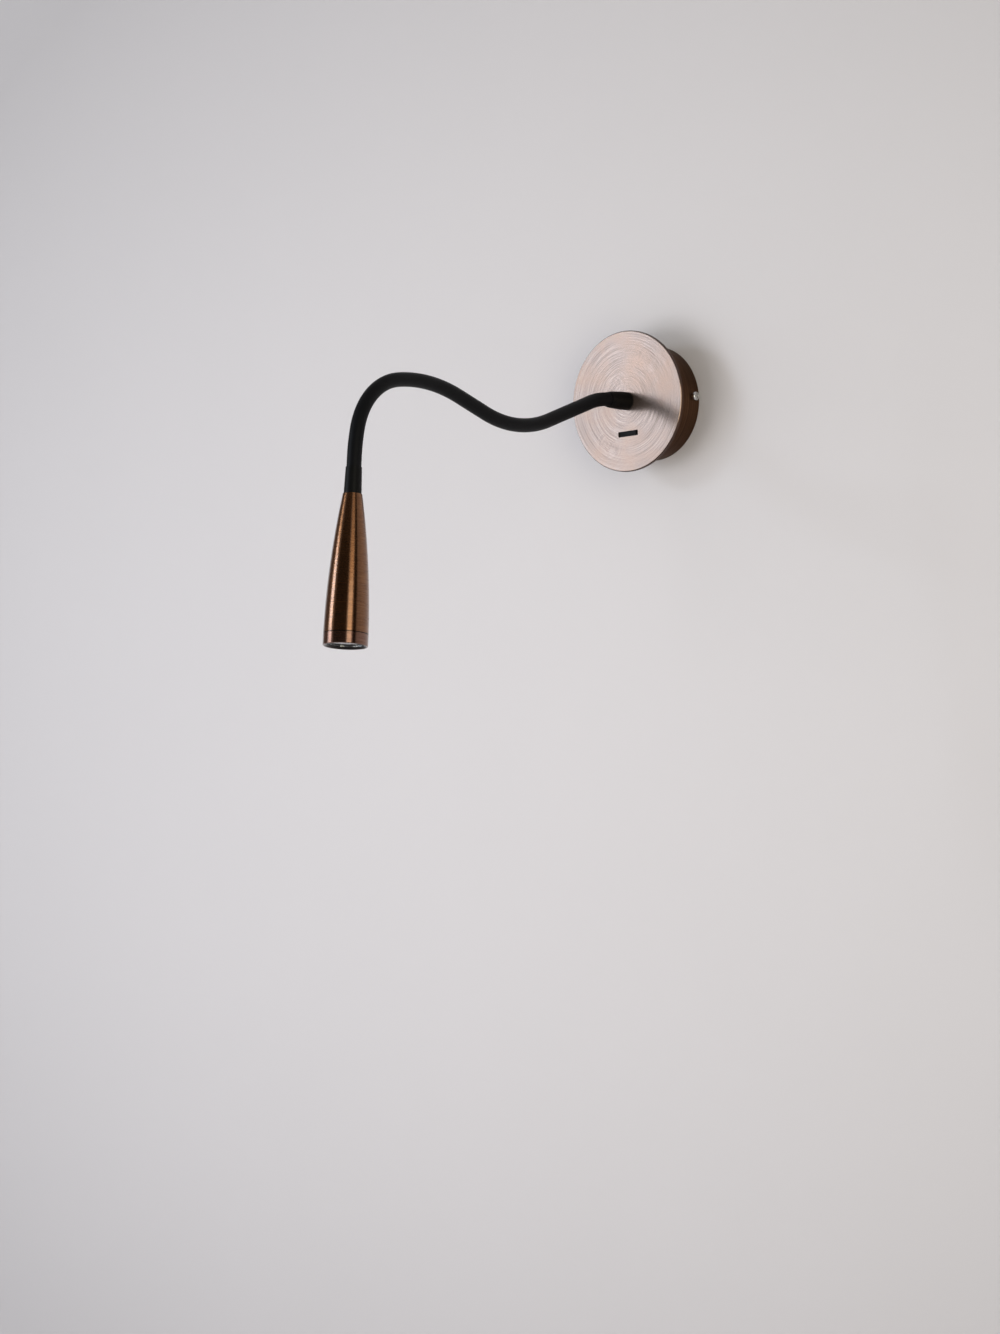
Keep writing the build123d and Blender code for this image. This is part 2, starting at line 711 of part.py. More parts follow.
# ------------------------------------------------------------------ collars
with BuildPart() as base_collar:
    with BuildSketch(along(0)):
        with BuildLine():
            Polyline(
                (sleeve_r + SEAT_GAP, NIPPLE_REACH),
                (nipple_r + SEAT_GAP, NIPPLE_REACH),
                (nipple_r + SEAT_GAP, SEAT_GAP),
                (BASE_COLLAR_D / 2, SEAT_GAP),
            )
            Spline(
                (BASE_COLLAR_D / 2, SEAT_GAP),
                (BASE_COLLAR_MID_D / 2, BASE_COLLAR_MID_AT),
                (BASE_COLLAR_TIP_D / 2, BASE_COLLAR_TIP_AT),
            )
            Polyline(
                (BASE_COLLAR_TIP_D / 2, BASE_COLLAR_TIP_AT),
                (sleeve_r + BASE_COLLAR_RIM, BASE_COLLAR_L),
                (sleeve_r + SEAT_GAP, BASE_COLLAR_L),
                (sleeve_r + SEAT_GAP, NIPPLE_REACH),
            )
        make_face()
    revolve(axis=Axis(neck_point(0), neck_tangent(0)))
export(base_collar.part, "base_collar")

with BuildPart() as head_collar:
    with BuildSketch(along(neck_length)):
        with BuildLine():
            Polyline(
                (HEAD_COLLAR_D / 2, -SEAT_GAP),
                (nipple_r + SEAT_GAP, -SEAT_GAP),
                (nipple_r + SEAT_GAP, -HEAD_COLLAR_GRIP),
                (sleeve_r + SEAT_GAP, -HEAD_COLLAR_GRIP),
                (sleeve_r + SEAT_GAP, -HEAD_COLLAR_L),
                (HEAD_COLLAR_TIP_D / 2, -HEAD_COLLAR_L),
                (HEAD_COLLAR_D / 2, -SEAT_GAP),
            )
        make_face()
    revolve(axis=Axis(neck_point(neck_length), neck_tangent(neck_length)))
export(head_collar.part, "head_collar")

# ------------------------------------------------------------------ goose-neck
ball_r = sleeve_r


def neck_piece(start, end, outer_r, inner_r, socket, ball):
    """One layer of the neck between two lengths.

    A flexible neck is cut here into short links. Each link ends in a part ball struck from
    the bending point, and the next begins in a socket round the same point, so the layers
    turn about it with a constant gap.
    """
    with BuildPart() as piece:
        with BuildLine():
            draw_neck_line(start, end)
        with BuildSketch(across(start)):
            Circle(outer_r)
            if inner_r > 0:
                Circle(inner_r, mode=Mode.SUBTRACT)
        sweep()
        if ball:
            outer_y = sqrt(max(ball_r**2 - outer_r**2, 0.0))
            inner_y = sqrt(ball_r**2 - inner_r**2)
            mid_r = (outer_r + inner_r) / 2
            with BuildSketch(along(end)):
                with BuildLine():
                    if outer_r < ball_r:
                        Line((outer_r, 0), (outer_r, outer_y))
                    ThreePointArc(
                        (outer_r, outer_y), (mid_r, sqrt(ball_r**2 - mid_r**2)), (inner_r, inner_y)
                    )
                    Polyline((inner_r, inner_y), (inner_r, 0), (outer_r, 0))
                make_face()
            revolve(axis=Axis(neck_point(end), neck_tangent(end)))
        if socket:
            with Locations(neck_point(start)):
                Sphere(ball_r + BALL_GAP, mode=Mode.SUBTRACT)
    return piece.part


conduit_start = NIPPLE_REACH - CONDUIT_GRIP + SEAT_GAP
sleeve_start = NIPPLE_REACH + SEAT_GAP
export(neck_piece(sleeve_start, joint_at[0], sleeve_r, sleeve_inner_r, False, True), "neck_sleeve_base")
export(neck_piece(conduit_start, joint_at[0], conduit_r, conduit_bore_r, False, True), "neck_conduit_base")

for k in range(1, NECK_JOINTS):
    link = (joint_at[k - 1], joint_at[k])
    export(neck_piece(*link, sleeve_r, sleeve_inner_r, True, True), f"neck_sleeve_{k}")
    export(neck_piece(*link, conduit_r, conduit_bore_r, True, True), f"neck_conduit_{k}")
    export(neck_piece(*link, lead_r, 0.0, True, True), f"neck_lead_{k}")

sleeve_end = neck_length - HEAD_COLLAR_GRIP - SEAT_GAP
conduit_end = neck_length - HEAD_COLLAR_GRIP + CONDUIT_GRIP - SEAT_GAP
export(neck_piece(joint_at[-1], sleeve_end, sleeve_r, sleeve_inner_r, True, False), "neck_sleeve_head")
export(neck_piece(joint_at[-1], conduit_end, conduit_r, conduit_bore_r, True, False), "neck_conduit_head")

# ------------------------------------------------------------------ spot head
shell_end = HEAD_L - BEZEL_L - BEZEL_GROOVE
head_axis = Axis(neck_point(neck_length), neck_tangent(neck_length))
head_section = along(neck_length)


def head_plane(s):
    """The plane square to the head's axis, s from its top, facing its mouth."""
    return across(neck_length).offset(s)


def shell_r(s):
    """Outer radius of the shell at s: the chord from top to groove plus a parabolic swell."""
    share = s / shell_end
    chord = HEAD_TOP_D / 2 + (HEAD_MOUTH_D - HEAD_TOP_D) / 2 * share
    return chord + 4 * HEAD_BULGE * share * (1 - share)


bore_r = BORE_D / 2
bezel_thread_r = HEAD_MOUTH_D / 2 - BEZEL_WALL
glass_front = HEAD_L - BEZEL_LIP - SEAT_GAP
glass_back = glass_front - GLASS_T
thread_end = glass_back - SEAT_GAP
sink_front = thread_end - SINK_TO_BORE_END
sink_back = sink_front - SINK_L
board_front = sink_front + SEAT_GAP + BOARD_T
holder_r = bore_r - SEAT_GAP
cavity_mid = (HEAD_SOLID_TOP + sink_back) / 2
cavity_r = [shell_r(s) - HEAD_WALL for s in (HEAD_SOLID_TOP, cavity_mid, sink_back)]

with BuildPart() as head_shell:
    with BuildSketch(head_section):
        with BuildLine():
            ThreePointArc(
                (shell_r(0), 0),
                (shell_r(shell_end / 2), shell_end / 2),
                (shell_r(shell_end), shell_end),
            )
            Polyline(
                (shell_r(shell_end), shell_end),
                (bezel_thread_r - SEAT_GAP, shell_end),
                (bezel_thread_r - SEAT_GAP, thread_end),
                (bore_r, thread_end),
                (bore_r, sink_back - SEAT_GAP),
                (cavity_r[2], sink_back - SEAT_GAP),
            )
            ThreePointArc(
                (cavity_r[2], sink_back - SEAT_GAP),
                (cavity_r[1], cavity_mid),
                (cavity_r[0], HEAD_SOLID_TOP),
            )
            Polyline(
                (cavity_r[0], HEAD_SOLID_TOP),
                (nipple_r + THREAD_FIT, HEAD_SOLID_TOP),
                (nipple_r + THREAD_FIT, 0),
                (shell_r(0), 0),
            )
        make_face()
    revolve(axis=head_axis)
export(head_shell.part, "head_shell")

with BuildPart() as bezel_ring:
    with BuildSketch(head_section):
        with BuildLine():
            Polyline(
                (bezel_thread_r, shell_end + BEZEL_GROOVE),
                (HEAD_MOUTH_D / 2, shell_end + BEZEL_GROOVE),
                (HEAD_MOUTH_D / 2, HEAD_L - BEZEL_CHAMFER),
                (HEAD_MOUTH_D / 2 - BEZEL_CHAMFER, HEAD_L),
                (BEZEL_APERTURE / 2 + BEZEL_LIP - BEZEL_CHAMFER, HEAD_L),
                (BEZEL_APERTURE / 2, HEAD_L - BEZEL_LIP + BEZEL_CHAMFER),
                (BEZEL_APERTURE / 2, HEAD_L - BEZEL_LIP),
                (bezel_thread_r, HEAD_L - BEZEL_LIP),
                (bezel_thread_r, shell_end + BEZEL_GROOVE),
            )
        make_face()
    revolve(axis=head_axis)
export(bezel_ring.part, "bezel_ring")

with BuildPart() as cover_glass:
    with BuildSketch(head_plane(glass_back)):
        Circle(bezel_thread_r - 2 * SEAT_GAP)
    extrude(amount=GLASS_T)
export(cover_glass.part, "cover_glass")

with BuildPart() as head_nipple:
    with BuildSketch(head_plane(-HEAD_COLLAR_GRIP)):
        Circle(nipple_r)
        Circle(conduit_bore_r, mode=Mode.SUBTRACT)
    extrude(amount=HEAD_COLLAR_GRIP + HEAD_NIPPLE_L)
    with BuildSketch(head_plane(-HEAD_COLLAR_GRIP)):
        Circle(conduit_r + NECK_FIT)
    extrude(amount=CONDUIT_GRIP, mode=Mode.SUBTRACT)
export(head_nipple.part, "head_nipple")

with BuildPart() as heat_sink:
    with BuildSketch(head_plane(sink_back)):
        Circle(holder_r)
        Circle(conduit_bore_r, mode=Mode.SUBTRACT)
    extrude(amount=SINK_L)
    # turned cooling grooves round the slug
    for k in range(SINK_GROOVES):
        groove_at = sink_back + SINK_L * (k + 0.5) / SINK_GROOVES - SINK_GROOVE_W / 2
        with BuildSketch(head_plane(groove_at)):
            Circle(bore_r)
            Circle(holder_r - SINK_GROOVE_DEPTH, mode=Mode.SUBTRACT)
        extrude(amount=SINK_GROOVE_W, mode=Mode.SUBTRACT)
    with BuildSketch(head_plane(sink_front)):
        with Locations((-BOARD_SCREW_SPACING / 2, 0), (BOARD_SCREW_SPACING / 2, 0)):
            Circle(BOARD_SCREW_D / 2 + THREAD_FIT)
    extrude(amount=-BOARD_SCREW_L, mode=Mode.SUBTRACT)
export(heat_sink.part, "heat_sink")

with BuildPart() as led_board:
    with BuildSketch(head_plane(sink_front + SEAT_GAP)):
        Circle(BOARD_D / 2)
        with Locations((-BOARD_SCREW_SPACING / 2, 0), (BOARD_SCREW_SPACING / 2, 0)):
            Circle(BOARD_SCREW_D / 2 + HOLE_FIT, mode=Mode.SUBTRACT)
    extrude(amount=BOARD_T)
export(led_board.part, "led_board")

on_board = head_plane(board_front + SEAT_GAP)
with BuildPart() as led_screws:
    for side in (-1, 1):
        add(
            pan_head_screw(
                Plane(
                    origin=on_board.from_local_coords((side * BOARD_SCREW_SPACING / 2, 0, 0)),
                    x_dir=(1, 0, 0),
                    z_dir=neck_tangent(neck_length),
                ),
                BOARD_SCREW_D,
                BOARD_SCREW_L,
                BOARD_SCREW_HEAD_D,
                BOARD_SCREW_HEAD_H,
            )
        )
export(led_screws.part, "led_screws")

with BuildPart() as led_emitter:
    with BuildSketch(head_plane(board_front)):
        Rectangle(EMITTER_W, EMITTER_W)
    extrude(amount=EMITTER_T)
    with BuildSketch(head_section):
        with BuildLine():
            dome_base = board_front + EMITTER_T
            Polyline(
                (0, dome_base + EMITTER_DOME_D / 2),
                (0, dome_base),
                (EMITTER_DOME_D / 2, dome_base),
            )
            RadiusArc(
                (EMITTER_DOME_D / 2, dome_base),
                (0, dome_base + EMITTER_DOME_D / 2),
                -EMITTER_DOME_D / 2,
            )
        make_face()
    revolve(axis=head_axis)
export(led_emitter.part, "led_emitter")

optic_back = board_front + EMITTER_T / 2
optic_well_r = EMITTER_W / sqrt(2) + OPTIC_WELL_GAP
optic_throat_r = optic_well_r + OPTIC_THROAT_WALL
flange_back = optic_back + OPTIC_L - OPTIC_FLANGE_T
optic_front = optic_back + OPTIC_L
holder_inner_r = OPTIC_MOUTH_D / 2 + HOLE_FIT

with BuildPart() as optic_holder:
    with BuildSketch(head_section):
        with BuildLine():
            Polyline(
                (holder_inner_r, sink_front + SEAT_GAP),
                (holder_r, sink_front + SEAT_GAP),
                (holder_r, thread_end),
                (holder_r - HOLDER_WALL, thread_end),
                (holder_r - HOLDER_WALL, flange_back),
                (holder_inner_r, flange_back),
                (holder_inner_r, sink_front + SEAT_GAP),
            )
        make_face()
    revolve(axis=head_axis)
export(optic_holder.part, "optic_holder")

with BuildPart() as optic:
    with BuildSketch(head_section):
        with BuildLine():
            # flange, collimating cone, and the well over the emitter
            Polyline(
                (0, optic_front),
                (holder_r - HOLDER_WALL - HOLE_FIT, optic_front),
                (holder_r - HOLDER_WALL - HOLE_FIT, flange_back + SEAT_GAP),
                (OPTIC_MOUTH_D / 2, flange_back + SEAT_GAP),
            )
            ThreePointArc(
                (OPTIC_MOUTH_D / 2, flange_back + SEAT_GAP),
                (
                    (OPTIC_MOUTH_D / 2 + optic_throat_r) / 2 + OPTIC_SWELL,
                    (optic_back + flange_back) / 2,
                ),
                (optic_throat_r, optic_back),
            )
            Polyline(
                (optic_throat_r, optic_back),
                (optic_well_r, optic_back),
                (optic_well_r, optic_back + OPTIC_WELL_DEPTH),
                (0, optic_back + OPTIC_WELL_DEPTH),
                (0, optic_front),
            )
        make_face()
    revolve(axis=head_axis)
export(optic.part, "optic")

export(neck_piece(joint_at[-1], neck_length + sink_front, lead_r, 0.0, True, False), "neck_lead_head")


# ------------------------------------------------------------------ leads inside the base
def lead(points, diameter, radii):
    """A round lead along straight runs joined by arcs of the given radii."""
    with BuildPart() as tube:
        with BuildLine() as route:
            FilletPolyline(*points, radius=radii)
        with BuildSketch(Plane(origin=route.line @ 0, z_dir=route.line % 0)):
            Circle(diameter / 2)
        sweep()
    length = route.wires()[0].length
    section = pi * diameter**2 / 4
    share = tube.part.volume / (section * length)
    print(f"lead {length:.1f} mm, radii {radii}, volume {share:.4f} of its tube")
    return tube.part


# the neck's lead starts at the driver, turns into the nipple and runs to the first link
driver_bottom = DRIVER_RISE - DRIVER_H / 2
lead_turn_out = nipple_end - NECK_LEAD_SETBACK
with BuildPart() as neck_lead_base:
    with BuildLine() as lead_route:
        FilletPolyline(
            (0, -lead_turn_out, driver_bottom - SEAT_GAP),
            (0, -lead_turn_out, 0),
            (0, -plate_out, 0),
            radius=NECK_LEAD_BEND_R,
        )
        draw_neck_line(0.0, joint_at[0])
    with BuildSketch(Plane(origin=lead_route.wires()[0] @ 0, z_dir=(0, 0, -1))):
        Circle(lead_r)
    sweep()
    with BuildSketch(along(joint_at[0])):
        with BuildLine():
            tip = sqrt(ball_r**2 - lead_r**2)
            Polyline((0, ball_r), (0, 0), (lead_r, 0), (lead_r, tip))
            ThreePointArc(
                (lead_r, tip), (lead_r / 2, sqrt(ball_r**2 - (lead_r / 2) ** 2)), (0, ball_r)
            )
        make_face()
    revolve(axis=Axis(neck_point(joint_at[0]), neck_tangent(joint_at[0])))
export(neck_lead_base.part, "neck_lead_base")

block_top = -BLOCK_DROP + BLOCK_DEPTH / 2
tab_end = body_top - SWITCH_BODY_DEPTH - TAB_L
wire_foot = block_top + SEAT_GAP - WIRE_IN_BLOCK
wire_head = driver_bottom - SEAT_GAP
tab_face = tab_x + TAB_T / 2 + SEAT_GAP
tab_mid = tab_end + TAB_L / 2
live_pin_x = LIVE_PIN_SHARE * DRIVER_L
neutral_pin_x = NEUTRAL_PIN_SHARE * DRIVER_L

with BuildPart() as live_leads:
    # from the first way of the block round to the left tab of the switch
    add(
        lead(
            [
                (way_x[0], -wire_out, wire_foot),
                (way_x[0], -wire_out, block_top + LIVE_RISE),
                (-tab_x - LIVE_SWING, -wire_out - LIVE_LIFT, block_top + LIVE_RISE / 2),
                (-tab_x - LIVE_SWING, -tab_mid, -SWITCH_DROP),
                (-tab_face, -tab_mid, -SWITCH_DROP),
            ],
            WIRE_D,
            [WIRE_TIGHT_R, WIRE_TIGHT_R, WIRE_TIGHT_R],
        )
    )
    # from the right tab of the switch up to the driver
    add(
        lead(
            [
                (tab_face, -tab_mid, -SWITCH_DROP),
                (live_pin_x, -tab_mid, -SWITCH_DROP),
                (live_pin_x, -tab_mid, wire_head),
            ],
            WIRE_D,
            [WIRE_BEND_R],
        )
    )
export(live_leads.part, "live_leads")

neutral_lead = lead(
    [
        (way_x[2], -wire_out, wire_foot),
        (way_x[2], -wire_out, block_top + NEUTRAL_RISE),
        (neutral_pin_x, -wire_out - NEUTRAL_LIFT, driver_bottom - NEUTRAL_DROP),
        (neutral_pin_x, -wire_out - NEUTRAL_LIFT, wire_head),
    ],
    WIRE_D,
    [WIRE_BEND_R, WIRE_BEND_R],
)
export(neutral_lead, "neutral_lead")

# the earth lead ends in a ring lug under the earth screw's head
with BuildPart() as earth_lead:
    add(
        lead(
            [
                (way_x[1], -wire_out, wire_foot),
                (way_x[1], -wire_out, block_top + EARTH_RISE),
                (EARTH_SCREW_X + LUG_RIM, -lug_back - WIRE_D / 2, -lug_r - EARTH_DROP),
                (EARTH_SCREW_X, -lug_back - WIRE_D / 2, -lug_r + LUG_RIM / 2),
            ],
            WIRE_D,
            [WIRE_TIGHT_R, WIRE_TIGHT_R],
        )
    )
    with BuildSketch(wall_plane(lug_back)):
        with Locations((EARTH_SCREW_X, 0)):
            Circle(lug_r)
            Circle(EARTH_SCREW_D / 2 + HOLE_FIT, mode=Mode.SUBTRACT)
    extrude(amount=LUG_T)
export(earth_lead.part, "earth_lead")

print("neck length", round(neck_length, 2), "joints at", [round(s, 2) for s in joint_at])
for k, s in enumerate(joint_at, 1):
    out, up, heading = neck_state(s)
    print("joint", k, "y", round(-out, 3), "z", round(up, 3), "heading", round(heading * 180 / pi, 3))
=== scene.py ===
from math import cos, pi, radians, sin

import bpy
import numpy as np
from mathutils import Matrix, Vector


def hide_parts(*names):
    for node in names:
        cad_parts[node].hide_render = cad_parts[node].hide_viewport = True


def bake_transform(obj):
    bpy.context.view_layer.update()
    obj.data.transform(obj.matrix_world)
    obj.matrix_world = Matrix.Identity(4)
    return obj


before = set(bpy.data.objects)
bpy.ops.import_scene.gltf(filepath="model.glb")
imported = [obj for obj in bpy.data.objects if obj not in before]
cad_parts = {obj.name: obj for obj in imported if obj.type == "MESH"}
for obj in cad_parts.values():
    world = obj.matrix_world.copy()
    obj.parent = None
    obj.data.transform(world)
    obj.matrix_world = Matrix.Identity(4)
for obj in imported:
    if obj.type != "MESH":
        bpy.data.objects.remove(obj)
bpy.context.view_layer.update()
scene = bpy.context.scene

# ------------------------------------------------------------------ the lamp's own sizes, in metres
MM = 0.001
PLATE_OUT = 25.2 * MM  # the plate's face, out from the wall
PLATE_EDGE_R = 39.65 * MM  # from here out the plate's rim is painted darker: painted shade for the dark surroundings its chamfer and side mirror
SLEEVE_R = 3.9 * MM
SLEEVE_INNER_R = 3.15 * MM
CONDUIT_R = 3.12 * MM
CONDUIT_BORE_R = 1.8 * MM
SLEEVE_START = 4.02 * MM  # starts are lengths along the neck, from the plate's face
CONDUIT_START = -3.98 * MM
CONDUIT_SHORT = 0.02 * MM  # the conduit ends this short of the neck's end
FIRST_JOINT = 24.0 * MM
NECK_JOINTS = 8
HEAD_COLLAR = 14.35 * MM
STUB = 10.0 * MM  # from the last joint to the head's collar
HEAD_GRIP = 8.0 * MM
SEAM_HEIGHT = 73.65 * MM  # where the bezel meets the shell, from the head's top
BEZEL_LIP_R = 11.15 * MM  # within this distance from the axis the bezel's inner lip is coloured near black
WALL_OPENING_R = 31.9 * MM
HOSE_AROUND = 48
RING_STEP = 1.0 * MM

# The neck's centreline from the plate's face to the head's top: runs of (length, turn), up is positive
NECK_RUNS = [
    (16.4 * MM, 0.0),
    (49.3 * MM * radians(18.5), radians(-18.5)),
    (38.5 * MM, 0.0),
    (78.3 * MM * radians(39.3), radians(39.3)),
    (22.0 * MM, 0.0),
    (101.0 * MM * radians(27.2), radians(-27.2)),
    (38.9 * MM * radians(66.4), radians(-66.4)),
    (99.3 * MM * radians(9.4), radians(-9.4)),
    (19.6 * MM, 0.0),
]
NECK_LENGTH = sum(length for length, turn in NECK_RUNS)
BEFORE_NECK = -1.0  # the first run, which is straight, also goes on back into the base


def neck_line(s):
    """Out, up and heading at lengths s along the neck, as arrays.

    Each run adds, for the share of it that lies before s, a straight step or an arc step:
    the heading grows by turn times the share, and out and up grow by the arc's chord.
    """
    s = np.asarray(s, float)
    out = np.full_like(s, PLATE_OUT)
    up = np.zeros_like(s)
    heading = np.zeros_like(s)
    start = 0.0
    for length, turn in NECK_RUNS:
        step = np.clip(s - start, 0.0 if start else BEFORE_NECK, length)
        half = turn * step / length / 2
        chord = step * np.sinc(half / pi)
        out += chord * np.cos(heading + half)
        up += chord * np.sin(heading + half)
        heading += 2 * half
        start += length
    past = np.maximum(s - start, 0.0)
    return out + past * np.cos(heading), up + past * np.sin(heading), heading


def neck_place(s):
    """The centreline's point and direction at one length s, as Vectors."""
    out, up, heading = (float(v[0]) for v in neck_line([s]))
    return Vector((0, -out, up)), Vector((0, -cos(heading), sin(heading)))


last_joint = NECK_LENGTH - HEAD_COLLAR - STUB
joint_pitch = (last_joint - FIRST_JOINT) / (NECK_JOINTS - 1)
joint_at = [FIRST_JOINT + joint_pitch * k for k in range(NECK_JOINTS)]
head_top, head_axis = neck_place(NECK_LENGTH)


# ------------------------------------------------------------------ surfaces
def new_piece(name, points, quads):
    """An object at the origin with a mesh of these points and quads."""
    mesh = bpy.data.meshes.new(name)
    mesh.from_pydata(points.reshape(-1, 3).tolist(), [], quads.reshape(-1, 4).tolist())
    piece = bpy.data.objects.new(name, mesh)
    scene.collection.objects.link(piece)
    return piece


def grid_mesh(name, rings, close_rows=False):
    """A smooth mesh from rings, an array (rows, around, 3).

    Vertex (i, j) joins (i, j+1), (i+1, j+1) and (i+1, j); the columns wrap round, and the rows
    wrap too where close_rows is set, which makes a closed hose wall.
    """
    rows, around = rings.shape[:2]
    index = np.arange(rows * around).reshape(rows, around)
    if close_rows:
        index = np.vstack([index, index[:1]])
    right = np.roll(index, -1, axis=1)
    piece = new_piece(name, rings, np.stack([index[:-1], right[:-1], right[1:], index[1:]], axis=-1))
    piece.data.polygons.foreach_set("use_smooth", np.ones(len(piece.data.polygons), bool))
    piece.data.set_sharp_from_angle(angle=radians(40))
    piece.data.update()
    return piece


def hose(name, lengths, outer, inner):
    """A hose wall round the neck's centreline.

    Ring i lies square to the centreline at lengths[i]: point = centre + r (cos a X + sin a N), with
    N the in-plane normal. The outer wall runs forward, the inner wall back, and the ends are closed.
    """
    path = np.concatenate([lengths, lengths[::-1]])
    radius = np.repeat([outer, inner], len(lengths))
    out, up, heading = neck_line(path)
    a = np.linspace(0, 2 * pi, HOSE_AROUND, endpoint=False)
    across = radius[:, None] * np.sin(a)
    rings = np.empty((len(path), HOSE_AROUND, 3))
    rings[..., 0] = radius[:, None] * np.cos(a)
    rings[..., 1] = -out[:, None] + across * np.sin(heading)[:, None]
    rings[..., 2] = up[:, None] + across * np.cos(heading)[:, None]
    return grid_mesh(name, rings, close_rows=True)


def turned_surface(name, radii, centre, axis, around=96):
    """A flat ring of the given radii, square to the axis through centre.

    Point = centre + radius * (cos a U + sin a V), with U, V square to the axis.
    """
    w = np.array(axis, float)
    u = np.cross(w, (0.0, 0.0, 1.0)) if abs(w[2]) < 0.9 else np.cross(w, (0.0, 1.0, 0.0))
    u /= np.linalg.norm(u)
    v = np.cross(w, u)
    a = np.linspace(0, 2 * pi, around, endpoint=False)
    spoke = np.cos(a)[:, None] * u + np.sin(a)[:, None] * v
    return grid_mesh(name, np.array(centre, float) + np.array(radii)[:, None, None] * spoke)


# ------------------------------------------------------------------ nodes
MIX_SHARE, MIX_A, MIX_B, MIX_COLOUR = 0, 6, 7, 2  # the colour sockets of a Mix node


def put(tree, kind, inputs=None, **settings):
    """A node of that kind; settings are its own choices, and inputs are values or sockets to join."""
    node = tree.nodes.new(kind)
    for key, value in settings.items():
        setattr(node, key, value)
    for key, value in (inputs or {}).items():
        if isinstance(value, bpy.types.NodeSocket):
            tree.links.new(value, node.inputs[key])
        else:
            node.inputs[key].default_value = value
    return node


def calc(tree, operation, a, b=0.0, c=0.0):
    """One number from a, b and c."""
    return put(tree, "ShaderNodeMath", {0: a, 1: b, 2: c}, operation=operation).outputs[0]


def vector(tree, operation, a, b=(0.0, 0.0, 0.0)):
    """One vector, or a number where the operation gives one."""
    node = put(tree, "ShaderNodeVectorMath", {0: a, 1: b}, operation=operation)
    return node.outputs["Value" if operation in ("DOT_PRODUCT", "LENGTH") else "Vector"]


def scaled(tree, a, scale):
    """The vector a times a number."""
    return put(tree, "ShaderNodeVectorMath", {0: a, "Scale": scale}, operation="SCALE").outputs["Vector"]


def noise(tree, place, scale=1.0, detail=2.0, rough=0.5):
    """Cloudy grey from 0 to 1 at a place, mostly near 0.5."""
    inputs = {"Vector": place, "Scale": scale, "Detail": detail, "Roughness": rough}
    return put(tree, "ShaderNodeTexNoise", inputs).outputs["Fac"]


def span(tree, value, low, high, to_low=0.0, to_high=1.0):
    """value from low..high mapped to to_low..to_high, held at the ends."""
    inputs = {"Value": value, "From Min": low, "From Max": high, "To Min": to_low, "To Max": to_high}
    return put(tree, "ShaderNodeMapRange", inputs).outputs["Result"]


def blend_colour(tree, share, a, b):
    """The colour between a and b."""
    a, b = (end if isinstance(end, bpy.types.NodeSocket) else (*end, 1.0) for end in (a, b))
    node = put(tree, "ShaderNodeMix", {MIX_SHARE: share, MIX_A: a, MIX_B: b}, data_type="RGBA")
    return node.outputs[MIX_COLOUR]


def place_of(tree):
    """The point on the piece, in the lamp's frame."""
    return put(tree, "ShaderNodeTexCoord").outputs["Object"]


def relief(tree, shader, height, distance):
    """Bump from a height, with its depth in metres."""
    bump = put(tree, "ShaderNodeBump", {"Height": height, "Distance": distance, "Strength": 1.0})
    tree.links.new(bump.outputs["Normal"], shader.inputs["Normal"])


def finish(name, colour, metallic=0.0, roughness=0.5, **sockets):
    """A material with one Principled shader; further names are sockets that are the same all over."""
    material = bpy.data.materials.new(name)
    material.use_nodes = True
    shader = material.node_tree.nodes["Principled BSDF"]
    shader.inputs["Base Color"].default_value = (*colour, 1.0)
    shader.inputs["Metallic"].default_value = metallic
    shader.inputs["Roughness"].default_value = roughness
    for key, value in sockets.items():
        shader.inputs[key.replace("_", " ")].default_value = value
    return material, material.node_tree, shader


# ------------------------------------------------------------------ finishes
WALL_AXIS = (0.0, 1.0, 0.0)
BASE_MIDDLE = (0.0, 0.0, 0.0)
HEAD_AXIS = tuple(head_axis)
HEAD_TOP = tuple(head_top)

FINE_SHARE = 0.5  # how much of the brushing is fine lines; the rest is broad ones
MARK_CORE = 3.0 * MM  # a polishing mark is at its strongest within this distance of its centre
MARK_REACH = 15.0 * MM  # and has faded out here
MARK_SHARE = 0.7
LINE_BLUR = 0.05 * MM  # width of the change at an edge between two colours
SEAM_CORE = 0.6  # share of the seam's half width that has its full colour
CLOUD_SCALE = 45.0
GLOSS_SWING = 0.04  # how much roughness changes from line to line
QUARTER_TURN = 0.25  # draws the gloss out square to the tangent


def turning(tree, centre, axis):
    """How a point lies round an axis: its height, its distance, its spoke of length 1, and the way round.

    height = (P - c) . a, spoke = (P - c) - height a, distance = |spoke|, way round = a x spoke.
    """
    from_centre = vector(tree, "SUBTRACT", place_of(tree), centre)
    height = vector(tree, "DOT_PRODUCT", from_centre, axis)
    spoke = vector(tree, "SUBTRACT", from_centre, scaled(tree, axis, height))
    distance = vector(tree, "LENGTH", spoke)
    spoke = vector(tree, "NORMALIZE", spoke)
    return height, distance, spoke, vector(tree, "CROSS_PRODUCT", axis, spoke)


def arcs(tree, centre, axis, per_metre, wander):
    """Long brushed arcs round an axis, as grey.

    Grey = noise at spoke * wander + axis * (height + distance) * per metre. Returns the grey, the
    distance from the axis and the way round.
    """
    height, distance, spoke, way = turning(tree, centre, axis)
    steps = calc(tree, "MULTIPLY", calc(tree, "ADD", height, distance), per_metre)
    line = vector(tree, "ADD", scaled(tree, spoke, wander), scaled(tree, axis, steps))
    return noise(tree, line), distance, way


